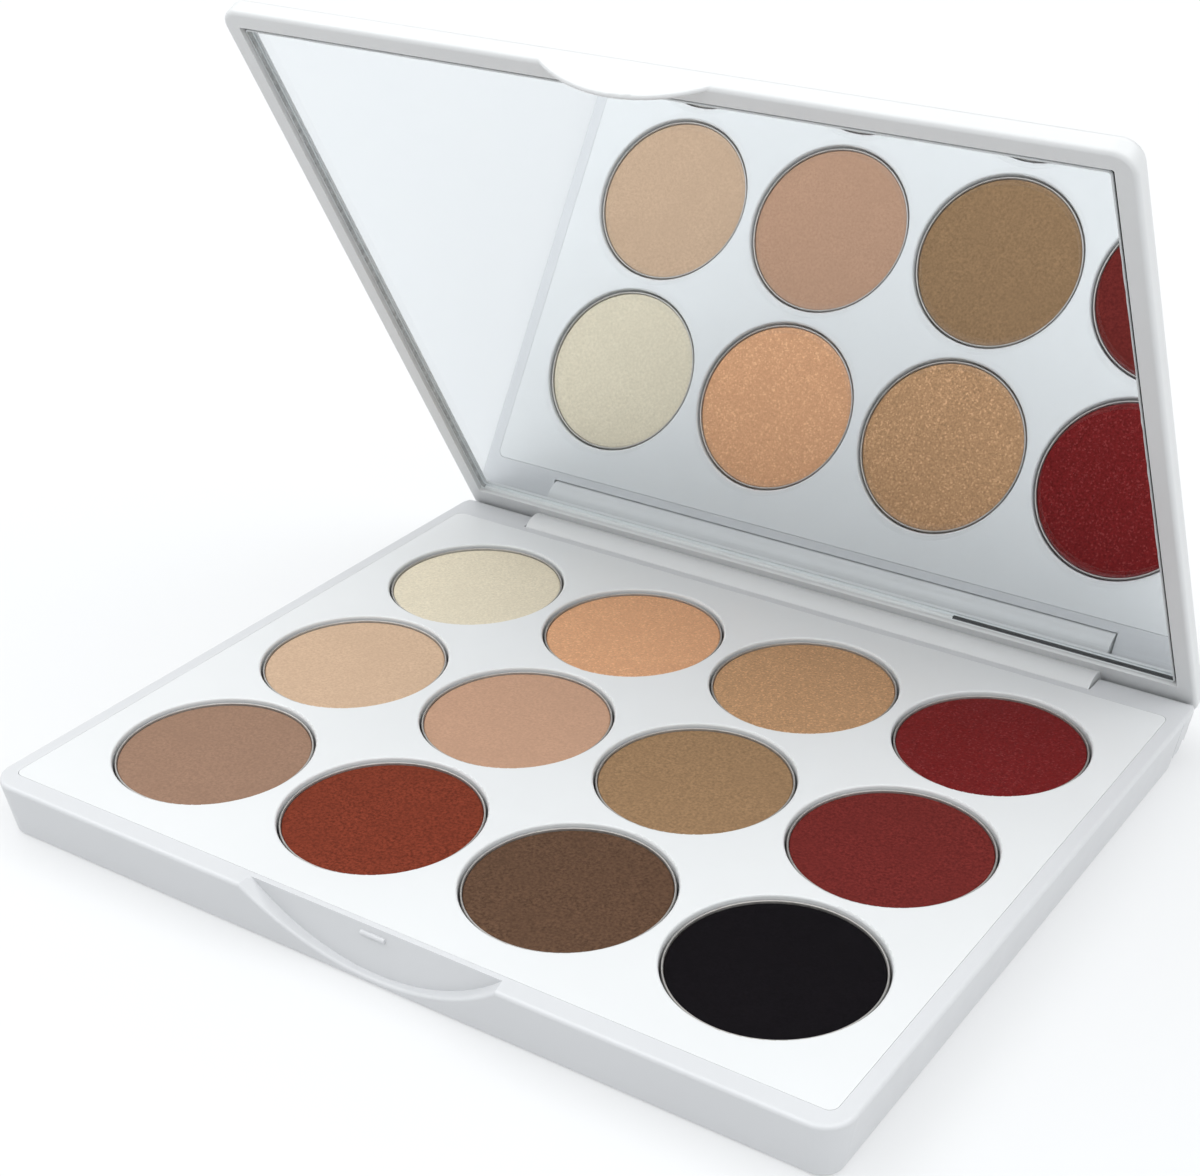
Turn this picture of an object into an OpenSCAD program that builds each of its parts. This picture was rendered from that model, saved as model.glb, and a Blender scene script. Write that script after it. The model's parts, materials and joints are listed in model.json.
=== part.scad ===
// Eyeshadow palette: a shallow white case with a mirrored lid and twelve round pans.
// Origin: on the underside, midway across the width, front_y behind the front face.
// +X to the right, +Y towards the hinge, +Z up. The lid stands open at lid_open degrees.

/* [Case] */
// Overall width of the base
case_w = 125.8; // [125.4:0.1:127]
// Distance from the origin to the base's front face
front_y = 52.2; // [52:0.1:53.5]
// Height of the base
base_h = 8.2; // [8:0.1:9.4]
// Corner radius of the base, seen from above
corner_r = 4; // [3.2:0.1:4.4]
// How far the base's sides lean in at the underside
side_slope = 1.2; // [0.2:0.1:1.4]
// Rounding of the base's lower outer edge
base_edge_r = 0.8; // [0.5:0.1:1]
// Rounding of the base's upper outer edge
top_edge_r = 0.5; // [0.3:0.1:0.8]
// Thickness of the base's floor
floor_t = 1.5; // [1.2:0.1:1.8]

/* [Pans] */
// Outer diameter of a pan
pan_d = 26; // [25.4:0.1:26.2]
// Height of a pan
pan_h = 4; // [3:0.1:4.2]
// Distance between the centres of neighbouring pans
pan_pitch = 28.65; // [28.4:0.05:28.7]
// How far the pan grid's centre lies in front of the origin
grid_y = 2.2; // [1.8:0.1:2.6]
// How far a pan's rim lies below the tray's top
pan_drop = 0.5; // [0.3:0.05:0.8]
// How far the powder lies below its pan's rim
powder_drop = 0.25; // [0.1:0.05:0.5]

/* [Tray insert] */
// Width of the insert
insert_w = 121.3; // [120.9:0.1:121.5]
// Front edge of the insert, in front of the origin
insert_front = 49.3; // [49:0.1:49.4]
// Rear edge of the insert, behind the origin
insert_rear = 45; // [44.8:0.1:45.1]
// Thickness of the insert's top panel
insert_t = 1.2; // [1:0.1:1.4]
// Diameter of a well in the insert
well_d = 26.6; // [26.4:0.1:26.8]
// Rounding of a well's upper edge
well_lip = 0.3; // [0.1:0.05:0.4]

/* [Lid] */
// Opening angle of the lid, as it stands
lid_open = 61.5; // [0:0.5:150]
// Width of the lid
lid_w = 124.9; // [124.4:0.1:125.8]
// Thickness of the lid
lid_t = 3.2; // [3:0.1:4]
// Corner radius of the lid, seen from above
lid_corner_r = 2.8; // [2.4:0.1:3.6]
// Gap between the closed lid and the base
seam = 0.15; // [0.1:0.05:0.3]
// Front face of the closed lid, in front of the origin
lid_front = 51.3; // [51.2:0.1:51.8]
// Rear edge of the closed lid, behind the origin
lid_rear = 51.5; // [51.3:0.1:51.6]
// Rounding of the lid's rim edge
rim_edge_r = 0.6; // [0.3:0.1:0.9]
// Rounding of the lid's outer edge
lid_edge_r = 1.2; // [0.8:0.1:1.4]

/* [Mirror] */
// Width of the recess in the lid
recess_w = 119.8; // [119.4:0.1:120.6]
// Front edge of the recess in the closed lid, in front of the origin
recess_front = 48.9; // [48.3:0.1:49.3]
// Rear edge of the recess in the closed lid, behind the origin
recess_rear = 45.25; // [44.9:0.05:45.5]
// Width of the mirror
mirror_w = 119.2; // [117:0.1:119.6]
// Length of the mirror, from its front edge to its hinge edge
mirror_len = 93.3; // [91:0.1:93.9]
// Thickness of the mirror glass
mirror_t = 1; // [0.8:0.1:1.2]
// How far the mirror lies below the lid's rim
mirror_drop = 0.5; // [0.3:0.05:0.7]
// Gap at the mirror's left edge and at its hinge edge
mirror_gap = 0.05; // [0.05:0.05:0.3]

/* [Hinge] */
// Distance from the origin back to the hinge axis
axis_y = 49.2; // [49:0.1:49.3]
// Radius of the base's hinge ears
ear_r = 2.45; // [2.3:0.05:2.5]
// Radius of the lid's knuckle
knuckle_r = 3.5; // [3.3:0.05:3.55]
// Width of the lid's knuckle
knuckle_w = 96.8; // [90:0.2:98]
// Gap around the knuckle
knuckle_gap = 0.25; // [0.2:0.05:0.3]
// Diameter of a hinge pin
pin_d = 1.5; // [1.2:0.1:1.6]
// Length of a hinge pin
pin_len = 21.3; // [18:0.1:24]
// Radial clearance of a pin in the knuckle
pin_play = 0.05; // [0.02:0.01:0.1]

/* [Thumb notch and tab] */
// Radius of the notch's arc
notch_r = 29.4; // [28:0.1:34]
// How far the notch reaches down from the base's top
notch_depth = 7.1; // [6.4:0.1:7.3]
// How far the notch's wall lies behind the front face
notch_in = 2.1; // [2:0.05:2.2]
// Rounding of the notch's edge
notch_edge_r = 0.4; // [0.2:0.1:0.6]
// Radius of the lid tab's arc
tab_r = 21.4; // [18:0.1:24]
// How far the tab reaches past the lid's rim
tab_drop = 3.4; // [3:0.1:4.2]
// Thickness of the tab
tab_t = 0.7; // [0.6:0.05:0.75]
// Radius of the latch rib
rib_r = 0.35; // [0.2:0.05:0.35]
// Length of the latch rib
rib_len = 3.6; // [3:0.1:6]

/* [Hidden] */
$fn = 96;
// The shades from left to right, the back row first.
SHADES = [
    "ivory", "peach", "bronze", "wine",
    "beige", "blush", "olive", "burgundy",
    "taupe", "rust", "brown", "black"
];
COLUMNS = 4;
ROWS = 3;
SHADE_COLOURS = [
    "#d3cbb6", "#c39572", "#a48163", "#6a2425",
    "#d0b398", "#be9980", "#97795c", "#712e2c",
    "#a1836e", "#803d2d", "#654c3d", "#1a181a"
];

shell_colour = "white";
steel_colour = "#c9cbce";
glue_colour = "#e6e2d6";
mirror_colour = "#dfe8ee";

cut = 1;                                    // overshoot of a cutting shape
half_w = case_w / 2;
axis_z = base_h - ear_r;
rim_z = base_h + seam;
ledge = 1;                                  // shelf that carries the insert's panel
insert_gap = 0.05;                          // parting line around the insert
insert_corner_r = 1.2;
cavity_w = insert_w + 2 * insert_gap;
cavity_front = insert_front + insert_gap;
cavity_rear = insert_rear + insert_gap;
glue_t = 0.15;
well_wall = 1.2;
well_floor_t = 1;
pan_wall = 0.25;
pan_floor_t = 0.3;
pan_rim_z = base_h - pan_drop;
pan_z = pan_rim_z - pan_h;
well_z = pan_z - glue_t;
powder_z = pan_rim_z - powder_drop;
powder_bevel = 0.2;
well_r = well_d / 2;
pan_r = pan_d / 2;
flange_y = 48.5;                            // rear face of the base below the ears
flange_h = axis_z - 3.65;                   // leaves the knuckle room to turn
groove_y = 47.4;                            // bottom of the groove between ear and flange
knuckle_half = knuckle_w / 2;
pocket_half = knuckle_half + knuckle_gap;
pocket_r = knuckle_r + knuckle_gap;
pin_r = pin_d / 2;
pin_out = half_w - 0.8;                     // outer end of a pin
bore_in = 0.4;                              // depth of the knuckle's bore past the pin
rib_drop = 1.4;                             // latch rib below the base's top
mirror_z = rim_z + mirror_drop;
tape_inset = 2;

function shade_x(k) = (k % COLUMNS - (COLUMNS - 1) / 2) * pan_pitch;
function shade_y(k) = ((ROWS - 1) / 2 - floor(k / COLUMNS)) * pan_pitch - grid_y;

// Unit normal of the line that touches two circles on their right-hand side, going from a to b.
function touching_normal(a, ra, b, rb) =
    let (d = (b - a) / norm(b - a), s = (ra - rb) / norm(b - a))
    s * d + sqrt(1 - s * s) * [d[1], -d[0]];

// Section through a shell's edge, from the centre of its corners outwards: flat below and above,
// with a side that leans in by the slope at the bottom and is rounded at both ends.
module edge_section(r, height, slope, low_r, high_r) {
    low = [r - slope - low_r, low_r];
    high = [r - high_r, height - high_r];
    n = touching_normal(low, low_r, high, high_r);
    polygon([[0, 0], [low[0], 0], low + low_r * n, high + high_r * n, [high[0], height], [0, height]]);
    translate(low) circle(low_r);
    translate(high) circle(high_r);
}

// Rounded slab between y0 and y1, with the same section along all four sides.
module slab(w, y0, y1, r, height, slope, low_r, high_r) {
    cx = w / 2 - r;
    ya = y0 + r;
    yb = y1 - r;
    for (x = [-cx, cx], y = [ya, yb])
        translate([x, y, 0]) rotate_extrude() edge_section(r, height, slope, low_r, high_r);
    translate([-cx, 0, 0]) rotate([90, 0, 90]) linear_extrude(2 * cx) {
        translate([yb, 0]) edge_section(r, height, slope, low_r, high_r);
        translate([ya, 0]) mirror([1, 0]) edge_section(r, height, slope, low_r, high_r);
        translate([ya, 0]) square([yb - ya, height]);
    }
    translate([0, yb, 0]) rotate([90, 0, 0]) linear_extrude(yb - ya) {
        translate([cx, 0]) edge_section(r, height, slope, low_r, high_r);
        translate([-cx, 0]) mirror([1, 0]) edge_section(r, height, slope, low_r, high_r);
        translate([-cx, 0]) square([2 * cx, height]);
    }
}

// Rectangle with round corners, centred across the width.
module rounded_plan(w, y0, y1, r) {
    translate([-w / 2 + r, y0]) square([w - 2 * r, y1 - y0]);
    translate([-w / 2, y0 + r]) square([w, y1 - y0 - 2 * r]);
    for (x = [-w / 2 + r, w / 2 - r], y = [y0 + r, y1 - r]) translate([x, y]) circle(r);
}

// Extrudes a section drawn in Y and Z along X, from x0 to x1.
module along_x(x0, x1) {
    translate([x0, 0, 0]) rotate([90, 0, 90]) linear_extrude(x1 - x0) children();
}

module at_shade(k) {
    translate([shade_x(k), shade_y(k), 0]) children();
}

// Puts a piece of the closed lid where the lid stands open.
module opened() {
    translate([0, axis_y, axis_z]) rotate([-lid_open, 0, 0]) translate([0, -axis_y, -axis_z]) children();
}

// Both ears in section: the barrel about the hinge axis and the wall in front of it.
module ear_section() {
    translate([axis_y, axis_z]) circle(ear_r);
    translate([insert_rear, flange_h]) square([groove_y - insert_rear, base_h - flange_h]);
    translate([insert_rear, axis_z]) square([axis_y - insert_rear, ear_r]);
}

module hinge_groove_section() {
    difference() {
        translate([groove_y, flange_h]) square([front_y - groove_y, axis_z - flange_h]);
        translate([axis_y, axis_z]) circle(ear_r);
    }
}

module base_slab(y0, y1) {
    slab(case_w, y0, y1, corner_r, base_h, side_slope, base_edge_r, top_edge_r);
}

module base_body() {
    base_slab(-front_y, flange_y);
    intersection() {
        base_slab(0, front_y);
        along_x(-half_w, half_w) ear_section();
    }
}

module insert_cavity() {
    translate([0, 0, base_h - insert_t]) linear_extrude(insert_t + cut)
        rounded_plan(cavity_w, -cavity_front, cavity_rear, insert_corner_r);
    translate([0, 0, floor_t]) linear_extrude(base_h)
        rounded_plan(cavity_w - 2 * ledge, ledge - cavity_front, cavity_rear - ledge, insert_corner_r);
}

// Moves a shape onto the leaning front face: its origin to the height z, its Y axis square into the face.
module on_front_face(z) {
    low = [corner_r - side_slope - base_edge_r, base_edge_r];
    high = [corner_r - top_edge_r, base_h - top_edge_r];
    n = touching_normal(low, base_edge_r, high, top_edge_r);
    top = high + top_edge_r * n;
    foot = top + (z - top[1]) / n[0] * [-n[1], n[0]];
    translate([0, corner_r - front_y - foot[0], z]) rotate([atan2(-n[1], n[0]), 0, 0]) children();
}

// Takes the sharp edge off a round hole of radius r that starts at z = 0 and runs up from there.
module edge_cut(r, edge_r) {
    rotate_extrude() difference() {
        translate([r - edge_r, -cut]) square([2 * edge_r, edge_r + cut]);
        translate([r + edge_r, edge_r]) circle(edge_r);
    }
}

// An arc cut square into the leaning face, down to an upright wall.
module thumb_notch() {
    intersection() {
        on_front_face(base_h - notch_depth) translate([0, -cut, notch_r]) rotate([-90, 0, 0])
            cylinder(r = notch_r, h = 2 * notch_in + cut, $fn = 256);
        translate([-notch_r, -front_y - cut, 0]) cube([2 * notch_r, notch_in + cut, 2 * base_h]);
    }
    on_front_face(base_h - notch_depth) translate([0, 0, notch_r]) rotate([-90, 0, 0])
        edge_cut(notch_r, notch_edge_r, $fn = 256);
}

module latch_rib() {
    translate([-rib_len / 2, notch_in - front_y, base_h - rib_drop]) rotate([0, 90, 0])
        cylinder(r = rib_r, h = rib_len);
}

module base_shell() {
    color(shell_colour) {
        difference() {
            base_body();
            insert_cavity();
            thumb_notch();
            along_x(-half_w, half_w) hinge_groove_section();
            along_x(-pocket_half, pocket_half) translate([axis_y, axis_z]) circle(pocket_r);
            along_x(-half_w - cut, half_w + cut) translate([axis_y, axis_z]) circle(pin_r);
        }
        latch_rib();
    }
}

module tray_insert() {
    color(shell_colour) difference() {
        union() {
            translate([0, 0, base_h - insert_t]) linear_extrude(insert_t)
                rounded_plan(insert_w, -insert_front, insert_rear, insert_corner_r);
            for (k = [0 : len(SHADES) - 1]) at_shade(k)
                translate([0, 0, floor_t])
                    cylinder(r = well_r + well_wall, h = base_h - floor_t - insert_t / 2);
        }
        for (k = [0 : len(SHADES) - 1]) at_shade(k) {
            translate([0, 0, well_z]) cylinder(r = well_r, h = base_h);
            translate([0, 0, floor_t - cut])
                cylinder(r = well_r, h = well_z - well_floor_t - floor_t + cut);
            translate([0, 0, base_h]) rotate([180, 0, 0]) edge_cut(well_r, well_lip);
        }
    }
}

// One round spot of glue under each pan.
module pan_adhesive() {
    color(glue_colour) for (k = [0 : len(SHADES) - 1])
        at_shade(k) translate([0, 0, well_z]) cylinder(r = pan_r - 4, h = glue_t);
}

module pan(k) {
    color(steel_colour) at_shade(k) translate([0, 0, pan_z]) difference() {
        cylinder(r = pan_r, h = pan_h);
        translate([0, 0, pan_floor_t]) cylinder(r = pan_r - pan_wall, h = pan_h);
    }
}

module powder(k) {
    r = pan_r - pan_wall;
    low_z = pan_z + pan_floor_t;
    bevel_z = powder_z - powder_bevel;
    color(SHADE_COLOURS[k]) at_shade(k) {
        translate([0, 0, low_z]) cylinder(r = r, h = bevel_z - low_z);
        translate([0, 0, bevel_z]) cylinder(r1 = r, r2 = r - powder_bevel, h = powder_bevel);
    }
}

// A pin lies in its ear and reaches into the knuckle. side is -1 for left and 1 for right.
module hinge_pin(side) {
    color(steel_colour) translate([side * (pin_out - pin_len / 2), axis_y, axis_z]) rotate([0, 90, 0])
        cylinder(r = pin_r, h = pin_len, center = true);
}

// The tab is the lower part of a thin disc with a round edge, flush with the lid's front face.
module tab() {
    intersection() {
        translate([0, -lid_front, rim_z - tab_drop + tab_r]) rotate([-90, 0, 0])
            rotate_extrude($fn = 256) {
                square([tab_r - tab_t / 2, tab_t]);
                translate([tab_r - tab_t / 2, tab_t / 2]) circle(tab_t / 2);
            }
        translate([-tab_r, -lid_front, rim_z - tab_drop]) cube([2 * tab_r, tab_t, tab_drop + rim_edge_r]);
    }
}

module knuckle() {
    along_x(-knuckle_half, knuckle_half) intersection() {
        union() {
            translate([axis_y, axis_z]) circle(knuckle_r);
            translate([axis_y, axis_z]) square([lid_rear - axis_y, knuckle_r]);
        }
        translate([axis_y - knuckle_r, axis_z - knuckle_r])
            square([lid_rear - axis_y + knuckle_r, 2 * knuckle_r]);
    }
}

module mirror_recess() {
    translate([0, 0, rim_z - cut]) linear_extrude(cut + mirror_drop + mirror_t + glue_t)
        rounded_plan(recess_w, -recess_front, recess_rear, 0.3);
}

module pin_bore(side) {
    translate([side * knuckle_half, axis_y, axis_z]) rotate([0, 90, 0])
        cylinder(r = pin_r + pin_play, h = 2 * (pin_len + knuckle_half - pin_out + bore_in), center = true);
}

module lid_shell() {
    color(shell_colour) opened() {
        difference() {
            union() {
                translate([0, 0, rim_z])
                    slab(lid_w, -lid_front, lid_rear, lid_corner_r, lid_t, 0, rim_edge_r, lid_edge_r);
                knuckle();
            }
            mirror_recess();
            for (side = [-1, 1]) pin_bore(side);
        }
        tab();
    }
}

// Plan of the mirror, drawn in by inset on all sides. It lies in the left rear corner of its recess.
module mirror_plan(inset) {
    translate([mirror_gap + inset - recess_w / 2, recess_rear - mirror_gap - mirror_len + inset])
        square([mirror_w - 2 * inset, mirror_len - 2 * inset]);
}

module mirror_plate() {
    color(mirror_colour) opened()
        translate([0, 0, mirror_z]) linear_extrude(mirror_t) mirror_plan(0);
}

module mirror_adhesive() {
    color(glue_colour) opened()
        translate([0, 0, mirror_z + mirror_t]) linear_extrude(glue_t) mirror_plan(tape_inset);
}

base_shell();
tray_insert();
pan_adhesive();
for (k = [0 : len(SHADES) - 1]) {
    pan(k);
    powder(k);
}
hinge_pin(-1);  // hinge_pin_left
hinge_pin(1);  // hinge_pin_right
lid_shell();
mirror_plate();  // mirror
mirror_adhesive();
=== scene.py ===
import json
import math
import random

import bmesh
import bpy
import numpy as np
from mathutils import Matrix, Vector, noise


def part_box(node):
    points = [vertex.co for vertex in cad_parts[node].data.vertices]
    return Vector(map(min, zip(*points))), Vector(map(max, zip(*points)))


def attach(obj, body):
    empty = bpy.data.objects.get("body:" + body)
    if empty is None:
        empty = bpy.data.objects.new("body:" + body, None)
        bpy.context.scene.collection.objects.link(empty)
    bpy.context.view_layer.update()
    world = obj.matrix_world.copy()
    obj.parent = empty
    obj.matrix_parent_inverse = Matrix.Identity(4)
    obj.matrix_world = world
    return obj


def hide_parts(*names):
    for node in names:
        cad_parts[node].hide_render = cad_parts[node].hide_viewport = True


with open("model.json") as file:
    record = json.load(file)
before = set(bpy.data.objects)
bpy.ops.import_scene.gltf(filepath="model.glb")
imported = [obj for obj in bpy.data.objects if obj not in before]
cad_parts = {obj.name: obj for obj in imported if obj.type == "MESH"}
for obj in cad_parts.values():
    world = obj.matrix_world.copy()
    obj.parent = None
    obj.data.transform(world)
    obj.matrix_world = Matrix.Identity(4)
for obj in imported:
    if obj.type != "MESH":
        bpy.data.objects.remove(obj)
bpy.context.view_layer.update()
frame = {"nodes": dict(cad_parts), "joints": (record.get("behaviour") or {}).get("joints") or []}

MM = 0.001
GAP = 0.02 * MM  # Left between a drawn piece and what it lies against.
SIDES = 144  # Steps in a full turn of a pan or a powder cake.
NODES = frame["nodes"]
HINGE = next(j for j in frame["joints"] if j["name"] == "lid_hinge")
HINGE_POS = Vector(HINGE["pos_m"])
OPENING = math.radians(-HINGE["range_deg"][0])
# Takes a point of the closed lid to where it is at rest, in the photographed pose.
OPENED = (
    Matrix.Translation(HINGE_POS)
    @ Matrix.Rotation(OPENING, 4, Vector(HINGE["axis"]))
    @ Matrix.Translation(-HINGE_POS)
)
TRAY_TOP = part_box("tray_insert")[1].z
SHADES = [n[len("powder_"):] for n in NODES if n.startswith("powder_")]


def material(name):
    """A new node material and its Principled shader."""
    mat = bpy.data.materials.new(name)
    mat.use_nodes = True
    return mat, mat.node_tree.nodes["Principled BSDF"]


def add_node(mat, kind, **settings):
    """Adds a shader node. Settings that aren't its attributes are its inputs, by name."""
    node = mat.node_tree.nodes.new(kind)
    for key, value in settings.items():
        if hasattr(node, key):
            setattr(node, key, value)
        else:
            node.inputs[key.replace("_", " ")].default_value = value
    return node


def link(mat, out, into):
    """Joins an output to an input in the node tree of a material or a world."""
    mat.node_tree.links.new(out, into)


def object_coords(mat):
    """Coordinates in metres that stay with the object."""
    return add_node(mat, "ShaderNodeTexCoord").outputs["Object"]


def noise_field(mat, coords, scale, detail=2.0, rough=0.5):
    """A noise texture in object space; scale is in cycles per metre."""
    tex = add_node(mat, "ShaderNodeTexNoise", Scale=scale, Detail=detail, Roughness=rough)
    link(mat, coords, tex.inputs["Vector"])
    return tex.outputs["Fac"]


def spread(mat, value, low, high, start=0.0, end=1.0):
    """Maps start..end to the numbers low..high, and no further."""
    node = add_node(mat, "ShaderNodeMapRange")
    node.inputs["From Min"].default_value = start
    node.inputs["From Max"].default_value = end
    node.inputs["To Min"].default_value = low
    node.inputs["To Max"].default_value = high
    link(mat, value, node.inputs["Value"])
    return node.outputs["Result"]


def mix_colour(mat, factor, a, b):
    """Mixes two colours, each a tuple of three parts or the output of a node."""
    node = add_node(mat, "ShaderNodeMix", data_type="RGBA")
    link(mat, factor, node.inputs["Factor"])
    for name, colour in (("A", a), ("B", b)):
        if isinstance(colour, tuple):
            node.inputs[name].default_value = (*colour, 1)
        else:
            link(mat, colour, node.inputs[name])
    return node.outputs["Result"]


def bump(mat, shader, height, strength, distance):
    """Fine relief from a field; distance is its full height in metres."""
    node = add_node(mat, "ShaderNodeBump", Strength=strength, Distance=distance)
    link(mat, height, node.inputs["Height"])
    link(mat, node.outputs["Normal"], shader.inputs["Normal"])


def colour_and_gloss(mat, shader, field, colours, roughness):
    """Links colour and roughness to a field; roughness is what spread takes after the value."""
    link(mat, mix_colour(mat, field, *colours), shader.inputs["Base Color"])
    link(mat, spread(mat, field, *roughness), shader.inputs["Roughness"])


def scaled(colour, factor, offset=0.0):
    """A lighter or darker version of a colour."""
    return tuple(min(1.0, part * factor + offset) for part in colour)


def edge_wear_and_highlight_mask(mat, radius):
    """1 along sharp edges, 0 on the flats."""
    dot = add_node(mat, "ShaderNodeVectorMath", operation="DOT_PRODUCT")
    rounded = add_node(mat, "ShaderNodeBevel", samples=4, Radius=radius)
    link(mat, rounded.outputs["Normal"], dot.inputs[0])
    link(mat, add_node(mat, "ShaderNodeNewGeometry").outputs["Normal"], dot.inputs[1])
    on_edge, on_flat = 0.80, 0.985
    return spread(mat, dot.outputs["Value"], 1.0, 0.0, on_edge, on_flat)


def white_plastic(name, tone, rough_low, rough_high):
    """Moulded white plastic: faint mottling, uneven gloss, pale edges that are partly rubbed wear and
    partly a painted highlight, and a very fine grain.
    """
    mat, shader = material(name)
    coords = object_coords(mat)
    mottle = noise_field(mat, coords, 40, 2)
    body = mix_colour(mat, spread(mat, mottle, 0.0, 1.0, 0.3, 0.7), scaled(tone, 0.97), tone)
    # Paler along sharp edges: partly rubbed wear, partly a painted highlight.
    body = mix_colour(mat, edge_wear_and_highlight_mask(mat, 0.35 * MM), body, scaled(tone, 1.06))
    link(mat, body, shader.inputs["Base Color"])
    gloss = spread(mat, noise_field(mat, coords, 240, 4, 0.6), rough_low, rough_high, 0.3, 0.7)
    link(mat, gloss, shader.inputs["Roughness"])
    shader.inputs["IOR"].default_value = 1.49
    bump(mat, shader, noise_field(mat, coords, 1500, 3), 0.04, 0.02 * MM)
    return mat


def tinplate():
    """Pressed tinplate, dulled by powder dust, with fine drawing marks."""
    mat, shader = material("tinplate")
    marks = noise_field(mat, object_coords(mat), 1400, 3)
    colours = ((0.36, 0.345, 0.33), (0.56, 0.545, 0.525))
    colour_and_gloss(mat, shader, marks, colours, (0.46, 0.66))
    shader.inputs["Metallic"].default_value = 1.0
    bump(mat, shader, marks, 0.15, 0.02 * MM)
    return mat


def pin_steel():
    """Drawn steel wire with fine lines along the pin."""
    mat, shader = material("pin_steel")
    stretch = add_node(mat, "ShaderNodeMapping")
    stretch.inputs["Scale"].default_value = (0.05, 1, 1)
    link(mat, object_coords(mat), stretch.inputs["Vector"])
    lines = noise_field(mat, stretch.outputs["Vector"], 4000, 2)
    colours = ((0.42, 0.42, 0.43), (0.62, 0.62, 0.63))
    colour_and_gloss(mat, shader, lines, colours, (0.25, 0.4))
    shader.inputs["Metallic"].default_value = 1.0
    bump(mat, shader, lines, 0.2, 0.01 * MM)
    return mat


def glue():
    """Dried glue and tape: dull, slightly uneven."""
    mat, shader = material("glue")
    patches = noise_field(mat, object_coords(mat), 500, 3)
    colours = ((0.68, 0.66, 0.60), (0.80, 0.78, 0.70))
    colour_and_gloss(mat, shader, patches, colours, (0.5, 0.75))
    bump(mat, shader, patches, 0.3, 0.05 * MM)
    return mat


def clear_glass():
    """The front of the mirror: clear float glass that returns a faint image of its own."""
    mat, shader = material("mirror_front")
    haze = noise_field(mat, object_coords(mat), 70, 4, 0.6)
    colours = ((0.93, 0.96, 0.97), (0.96, 0.98, 0.99))
    colour_and_gloss(mat, shader, haze, colours, (0.0, 0.006, 0.4, 0.7))
    shader.inputs["Metallic"].default_value = 1.0
    shader.inputs["Alpha"].default_value = 0.06
    return mat


def mirror_silver():
    """The silvered back of the glass."""
    mat, shader = material("mirror_silver")
    cloud = noise_field(mat, object_coords(mat), 90, 4, 0.6)
    colours = ((0.87, 0.90, 0.92), (0.89, 0.915, 0.93))
    colour_and_gloss(mat, shader, cloud, colours, (0.0, 0.015, 0.4, 0.7))
    shader.inputs["Metallic"].default_value = 1.0
    return mat


def ground_edge(name, first, last):
    """The ground edge of the glass: near-black painted shade for the gap beside the glass where a noise
    stays under first, and pale ground glass over last.
    """
    mat, shader = material(name)
    coords = object_coords(mat)
    clear_of_gap_shade = spread(mat, noise_field(mat, coords, 900, 4, 0.7), 0.0, 1.0, first, last)
    grind = noise_field(mat, coords, 4000, 2)
    pale = mix_colour(mat, grind, (0.62, 0.65, 0.66), (0.78, 0.80, 0.80))
    # The near-black colour is painted shade for the gap beside the glass; the pale mix is the ground
    # glass.
    link(mat, mix_colour(mat, clear_of_gap_shade, (0.02, 0.022, 0.024), pale), shader.inputs["Base Color"])
    link(mat, spread(mat, grind, 0.4, 0.7), shader.inputs["Roughness"])
    bump(mat, shader, clear_of_gap_shade, 0.4, 0.03 * MM)
    return mat


def mirror_backing():
    """Grey paint over the silver."""
    mat, shader = material("mirror_backing")
    brushed = noise_field(mat, object_coords(mat), 600, 3)
    colours = ((0.30, 0.31, 0.32), (0.40, 0.41, 0.42))
    colour_and_gloss(mat, shader, brushed, colours, (0.5, 0.7))
    bump(mat, shader, brushed, 0.2, 0.02 * MM)
    return mat


# Colour, how much pearl the shade has, and how coarse its grain looks.
POWDERS = {
    "ivory": ((0.6316, 0.5680, 0.4403), 0.10, 0.8), "peach": ((0.5961, 0.3204, 0.1766), 0.45, 1.0),
    "bronze": ((0.4228, 0.2467, 0.1307), 0.60, 1.9), "wine": ((0.1434, 0.0108, 0.0110), 0.55, 2.4),
    "beige": ((0.5080, 0.3600, 0.2496), 0, 0.8), "blush": ((0.4344, 0.2655, 0.1797), 0, 0.8),
    "olive": ((0.2612, 0.1611, 0.0864), 0, 1.7), "burgundy": ((0.1294, 0.0183, 0.0158), 0, 2.2),
    "taupe": ((0.2614, 0.1609, 0.1112), 0, 1.0), "rust": ((0.1583, 0.0306, 0.0154), 0, 2.7),
    "brown": ((0.0945, 0.0519, 0.0316), 0, 2.6), "black": ((0.0041, 0.0033, 0.0045), 0, 2.5),
}


def powder_material(shade):
    """Pressed powder: fine grain, a faint cloud and, in some shades, pearl flecks."""
    mat, shader = material("powder_" + shade)
    coords = object_coords(mat)
    colour, pearl, coarse = POWDERS[shade]
    grain = noise_field(mat, coords, 2600, 3, 0.7)
    cloud = noise_field(mat, coords, 180, 2)
    dark = scaled(colour, 1 - 0.16 * coarse)
    light = scaled(colour, 1 + 0.15 * coarse)
    tone = mix_colour(mat, spread(mat, grain, 0.0, 1.0, 0.32, 0.68), dark, light)
    soft = spread(mat, cloud, 0.0, 0.35, 0.4, 0.65)
    tone = mix_colour(mat, soft, tone, scaled(colour, 0.93))
    if pearl:
        flecks = add_node(mat, "ShaderNodeTexVoronoi", Scale=4200.0)
        link(mat, coords, flecks.inputs["Vector"])
        pick = add_node(mat, "ShaderNodeSeparateColor")
        link(mat, flecks.outputs["Color"], pick.inputs["Color"])
        bright = spread(mat, pick.outputs["Red"], 0.0, pearl, 0.80, 0.97)
        tone = mix_colour(mat, bright, tone, scaled(colour, 1.8, 0.03))
        link(mat, spread(mat, bright, 0.2 * pearl, 0.9), shader.inputs["Metallic"])
        link(mat, spread(mat, pick.outputs["Green"], 0.62, 0.34), shader.inputs["Roughness"])
    else:
        link(mat, spread(mat, grain, 0.72, 0.92), shader.inputs["Roughness"])
    shader.inputs["Specular IOR Level"].default_value = 0.06
    link(mat, tone, shader.inputs["Base Color"])
    bump(mat, shader, grain, 0.35, 0.06 * MM)
    return mat


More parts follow.
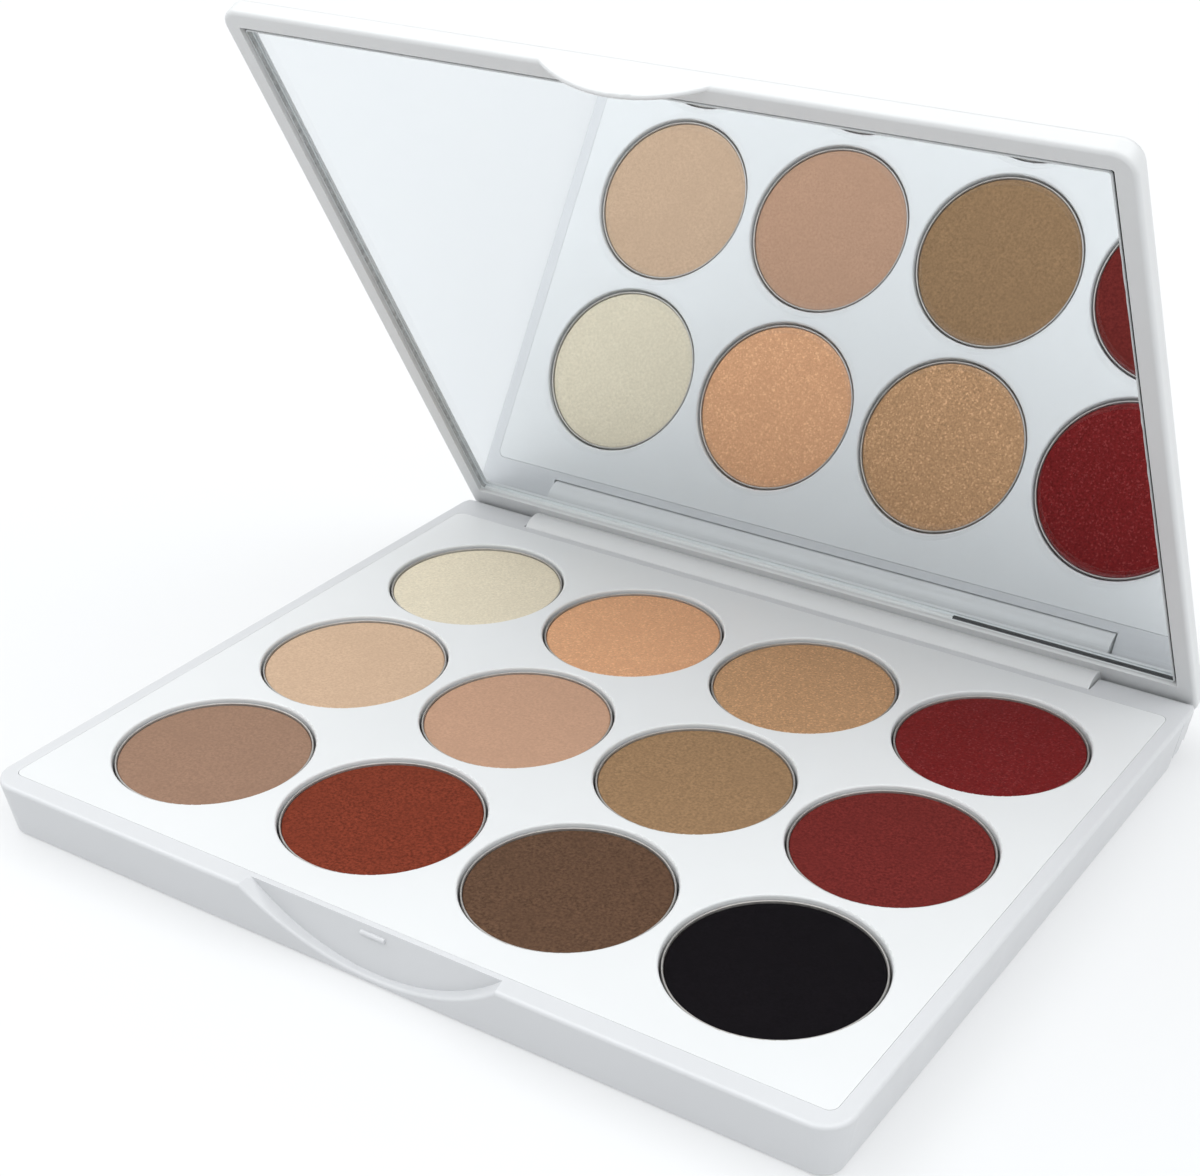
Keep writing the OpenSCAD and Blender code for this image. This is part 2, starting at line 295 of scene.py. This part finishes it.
def floor_material():
    """Plain pale paper that glows a little, so that the far floor stays as pale as the near one."""
    mat, shader = material("studio_floor")
    cloud = noise_field(mat, object_coords(mat), 3, 2)
    colours = ((0.37, 0.373, 0.376), (0.39, 0.393, 0.396))
    colour_and_gloss(mat, shader, cloud, colours, (0.8, 0.9))
    shader.inputs["Emission Color"].default_value = (0.97, 0.985, 1.0, 1)
    shader.inputs["Emission Strength"].default_value = 0.43
    shader.inputs["Specular IOR Level"].default_value = 0.2
    return mat


def dress(node, mat):
    """Gives a CAD node that stays as it is a better material."""
    slots = NODES[node].data.materials
    slots.clear()
    slots.append(mat)


def new_piece(name, mesh, body, slot, *replaced):
    """A drawn piece that rides on a body in place of the CAD nodes it replaces."""
    obj = bpy.data.objects.new(name, mesh)
    bpy.context.scene.collection.objects.link(obj)
    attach(obj, body)
    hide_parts(*replaced)
    return obj


def revolved(name, profile, centre, wobble=None):
    """Turns a profile of (radius, height) points about Z through centre.

    A radius of 0 closes an end. wobble(x, y, radius) is added to the height.
    """
    bm = bmesh.new()
    rings = []
    for r, z in profile:
        if r == 0:
            rings.append([bm.verts.new((centre[0], centre[1], z))])
            continue
        ring = []
        for k in range(SIDES):
            a = 2 * math.pi * k / SIDES
            x = centre[0] + r * math.cos(a)
            y = centre[1] + r * math.sin(a)
            rise = wobble(x, y, r) if wobble else 0
            ring.append(bm.verts.new((x, y, z + rise)))
        rings.append(ring)
    for a, b in zip(rings, rings[1:]):
        for k in range(SIDES):
            n = (k + 1) % SIDES
            if len(a) == 1:
                bm.faces.new((a[0], b[n], b[k]))
            elif len(b) == 1:
                bm.faces.new((a[k], a[n], b[0]))
            else:
                bm.faces.new((a[k], a[n], b[n], b[k]))
    bmesh.ops.recalc_face_normals(bm, faces=bm.faces)
    for face in bm.faces:
        face.smooth = True
    mesh = bpy.data.meshes.new(name)
    bm.to_mesh(mesh)
    bm.free()
    return mesh


def middle(node):
    """The centre of a node's box."""
    lo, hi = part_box(node)
    return (lo + hi) / 2


def make_powder(shade):
    """A pressed cake: faintly dished, with a worn shoulder just inside the pan's wall."""
    node = "powder_" + shade
    lo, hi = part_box(node)
    r = (hi.x - lo.x) / 2 - GAP
    bottom = lo.z + GAP
    top = hi.z - GAP
    shoulder = 0.22 * MM
    dish = 0.05 * MM
    flat = r - shoulder
    profile = [(0, bottom), (r, bottom)]
    for k in range(5):
        a = math.radians(90 * k / 4)
        profile.append((flat + shoulder * math.cos(a), top - shoulder * (1 - math.sin(a))))
    steps = 26
    for k in range(1, steps):
        t = 1 - k / steps
        profile.append((flat * t, top - dish * (1 - t * t)))
    profile.append((0, top - dish))
    seed = 0.37 * (SHADES.index(shade) + 1)

    def wobble(x, y, radius):
        """The uneven face that pressing leaves, on the flat part only."""
        if radius > flat:
            return 0.0
        p = Vector((x, y, seed))
        return 0.012 * MM * noise.noise(p * 420) + 0.008 * MM * noise.noise(p * 1500)

    mesh = revolved(node, profile, middle(node), wobble)
    mesh.materials.append(powder_material(shade))
    new_piece(node + "_cake", mesh, "base", node, node)


def make_pan(shade, metal):
    """A drawn tinplate cup with a rolled upper rim and a round lower corner."""
    node = "pan_" + shade
    lo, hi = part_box(node)
    r_out = (hi.x - lo.x) / 2
    powder_lo, powder_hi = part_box("powder_" + shade)
    r_in = (powder_hi.x - powder_lo.x) / 2
    bead = (r_out - r_in) / 2
    bottom, top, floor = lo.z, hi.z, powder_lo.z
    corner = 0.6 * MM
    profile = [(0, bottom)]
    for k in range(5):
        a = math.radians(90 * k / 4)
        profile.append((r_out - corner + corner * math.sin(a), bottom + corner - corner * math.cos(a)))
    for k in range(9):
        a = math.radians(180 * k / 8)
        profile.append((r_out - bead + bead * math.cos(a), top - bead + bead * math.sin(a)))
    profile += [(r_in, floor), (0, floor)]
    mesh = revolved(node, profile, middle(node))
    mesh.materials.append(metal)
    new_piece(node + "_cup", mesh, "base", "tinplate", node)


def closed_corners(node):
    """Lowest and highest corner of a lid node when the lid is shut."""
    shut = OPENED.inverted()
    points = np.array([shut @ v.co for v in NODES[node].data.vertices])
    return Vector(points.min(0)), Vector(points.max(0))


def add_plate(bm, lo, hi, arris, front, back, side):
    """Adds a closed plate with small round corners and lightly chipped arrises.

    front and back are the material numbers of its two faces, and side(centre) that of a side face.
    """
    corner = 0.5 * MM
    steps = 60
    chance = random.Random(5)

    def outline(inset, z):
        """A ring at height z, drawn in by inset and then by a random part of it again."""
        loop = []
        for sx, sy, start in ((1, 1, 0), (-1, 1, 90), (-1, -1, 180), (1, -1, 270)):
            cx = (hi.x if sx > 0 else lo.x) - sx * corner
            cy = (hi.y if sy > 0 else lo.y) - sy * corner
            for k in range(4):
                a = math.radians(start + 30 * k)
                loop.append((cx + (corner - inset) * math.cos(a), cy + (corner - inset) * math.sin(a)))
        ring = []
        for k, (x, y) in enumerate(loop):
            next_x, next_y = loop[(k + 1) % len(loop)]
            pieces = steps if k % 4 == 3 else 1
            for i in range(pieces):
                t = i / pieces
                chip = 1 - inset * chance.random() / hi.x
                px = chip * (x + t * (next_x - x))
                py = chip * (y + t * (next_y - y))
                ring.append(bm.verts.new((px, py, z)))
        return ring

    rings = [
        outline(arris, lo.z),
        outline(0, lo.z + arris),
        outline(0, (lo.z + hi.z) / 2),
        outline(0, hi.z - arris),
        outline(arris, hi.z),
    ]
    bm.faces.new(rings[0]).material_index = front
    bm.faces.new(rings[-1]).material_index = back
    for a, b in zip(rings, rings[1:]):
        for k in range(len(a)):
            n = (k + 1) % len(a)
            face = bm.faces.new((a[k], a[n], b[n], b[k]))
            face.material_index = side(face.calc_center_median())


def make_mirror():
    """A glass plate with a silvered back, on a painted backing.

    Clear glass looks a third thinner than it is, so the silver stands a third of the way forward
    and the backing fills the rest of the mirror's thickness.
    """
    lo, hi = closed_corners("mirror")
    hi.z -= GAP
    silver_z = hi.z - (hi.z - lo.z) / 3
    half_way = (lo.z + silver_z) / 2
    # Past this x, the hinge side of the glass carries near-black painted shade.
    gap_shade_from = 25 * MM
    near = 0.5 * MM
    glass, silver, ground, gap_shade, soft, backing = range(6)

    def glass_side(centre):
        """Painted shade on the sides next to the silver: grey on the left, and near black in front, at
        the right and partly at the hinge, for the gap beside the glass.
        """
        if centre.z < half_way:
            return ground
        at_hinge = centre.y > hi.y - near and centre.x > gap_shade_from
        in_front = centre.y < lo.y + near
        on_right = centre.x > hi.x - near
        if centre.x < lo.x + near:
            return soft
        return gap_shade if at_hinge or in_front or on_right else ground

    bm = bmesh.new()
    add_plate(bm, lo, Vector((hi.x, hi.y, silver_z)), 0.1 * MM, glass, silver, glass_side)
    behind = Vector((lo.x, lo.y, silver_z + 0.01 * MM))
    add_plate(bm, behind, hi, 0.05 * MM, backing, backing, lambda centre: backing)
    bmesh.ops.recalc_face_normals(bm, faces=bm.faces)
    bmesh.ops.transform(bm, matrix=OPENED, verts=bm.verts)
    mesh = bpy.data.meshes.new("mirror_glass")
    bm.to_mesh(mesh)
    bm.free()
    for mat in (
        clear_glass(),
        mirror_silver(),
        # Edge materials whose near-black parts are painted shade for the gap beside the glass.
        ground_edge("mirror_edge", 0.18, 0.30),
        ground_edge("mirror_edge_gap_shade", 0.68, 0.78),
        ground_edge("mirror_soft_edge", 0.05, 0.95),
        mirror_backing(),
    ):
        mesh.materials.append(mat)
    new_piece("mirror_glass", mesh, "lid", "mirror", "mirror")


def maths(tree, operation, *values):
    """The result of a sum, product or other operation on the outputs of nodes."""
    node = add_node(tree, "ShaderNodeMath", operation=operation)
    for value, socket in zip(values, node.inputs):
        link(tree, value, socket)
    return node.outputs["Value"]


def studio_light():
    """A soft dome: brightest high in front, dim near the horizon, with a glow on both sides."""
    world = bpy.data.worlds.new("studio")
    bpy.context.scene.world = world
    world.use_nodes = True
    parts = add_node(world, "ShaderNodeSeparateXYZ")
    link(world, add_node(world, "ShaderNodeTexCoord").outputs["Generated"], parts.inputs["Vector"])
    band = spread(world, parts.outputs["Z"], low=0.17, high=2.8, start=0.53, end=0.69)
    crown = spread(world, parts.outputs["Z"], low=1.0, high=0.30, start=0.89, end=0.97)
    front = spread(world, parts.outputs["Y"], low=1.05, high=0.60, start=-0.4, end=0.6)
    dome = maths(world, "MULTIPLY", maths(world, "MULTIPLY", band, crown), front)
    sideways = maths(world, "ABSOLUTE", parts.outputs["X"])
    glow = spread(world, sideways, low=0.0, high=1.05, start=0.4, end=1.0)
    sky = world.node_tree.nodes["Background"]
    sky.inputs["Color"].default_value = (0.985, 0.995, 1.0, 1)
    link(world, maths(world, "ADD", dome, glow), sky.inputs["Strength"])


def make_floor():
    """A round pale floor that curves up into a low wall far away."""
    points = [(2.2, 0), (2.6, 0.02), (2.85, 0.1), (2.97, 0.22), (3.0, 0.38)]
    bm = bmesh.new()
    count = 96
    rings = []
    for radius, height in points:
        angles = [2 * math.pi * k / count for k in range(count)]
        rings.append([bm.verts.new((radius * math.cos(a), radius * math.sin(a), height)) for a in angles])
    bm.faces.new(rings[0])
    for low, high in zip(rings, rings[1:]):
        for k in range(count):
            n = (k + 1) % count
            bm.faces.new((low[k], low[n], high[n], high[k])).smooth = True
    bmesh.ops.reverse_faces(bm, faces=[f for f in bm.faces if f.normal.z < 0])
    mesh = bpy.data.meshes.new("floor")
    bm.to_mesh(mesh)
    bm.free()
    floor = bpy.data.objects.new("floor", mesh)
    bpy.context.scene.collection.objects.link(floor)
    floor.location.z = -GAP
    mesh.materials.append(floor_material())


def make_camera():
    """The view from the front right, with the palette framed towards the lower left."""
    azimuth, elevation = math.radians(32.60), math.radians(29.59)
    aim = Vector((-2.9 * MM, 19.2 * MM, TRAY_TOP))
    distance = 295.8 * MM
    back = Vector((
        math.sin(azimuth) * math.cos(elevation),
        -math.cos(azimuth) * math.cos(elevation),
        math.sin(elevation),
    ))
    data = bpy.data.cameras.new("camera")
    data.lens = 62.86
    data.sensor_width = 36.0
    data.shift_x = -0.0603
    data.shift_y = 0.0701
    data.clip_start = 0.01
    cam = bpy.data.objects.new("camera", data)
    bpy.context.scene.collection.objects.link(cam)
    cam.location = aim + back * distance
    cam.rotation_euler = (-back).to_track_quat("-Z", "Y").to_euler()
    bpy.context.scene.camera = cam


# One white plastic for all three parts: the case's darker tone is painted shade, chiefly for its front
# side, and the lid's slightly darker tone is painted shade on its front wall.
dress("base_shell", white_plastic("white_case", (0.575, 0.585, 0.60), 0.29, 0.38))
dress("lid_shell", white_plastic("white_lid_painted_shade", (0.645, 0.655, 0.66), 0.29, 0.38))
dress("tray_insert", white_plastic("white_insert", (0.66, 0.673, 0.68), 0.29, 0.40))
spots = glue()
for node in ("pan_adhesive", "mirror_adhesive"):
    dress(node, spots)
steel = pin_steel()
for node in ("hinge_pin_left", "hinge_pin_right"):
    dress(node, steel)
metal = tinplate()
for shade in SHADES:
    make_pan(shade, metal)
    make_powder(shade)
make_mirror()
studio_light()
make_floor()
make_camera()
bpy.context.scene.view_settings.view_transform = "Standard"
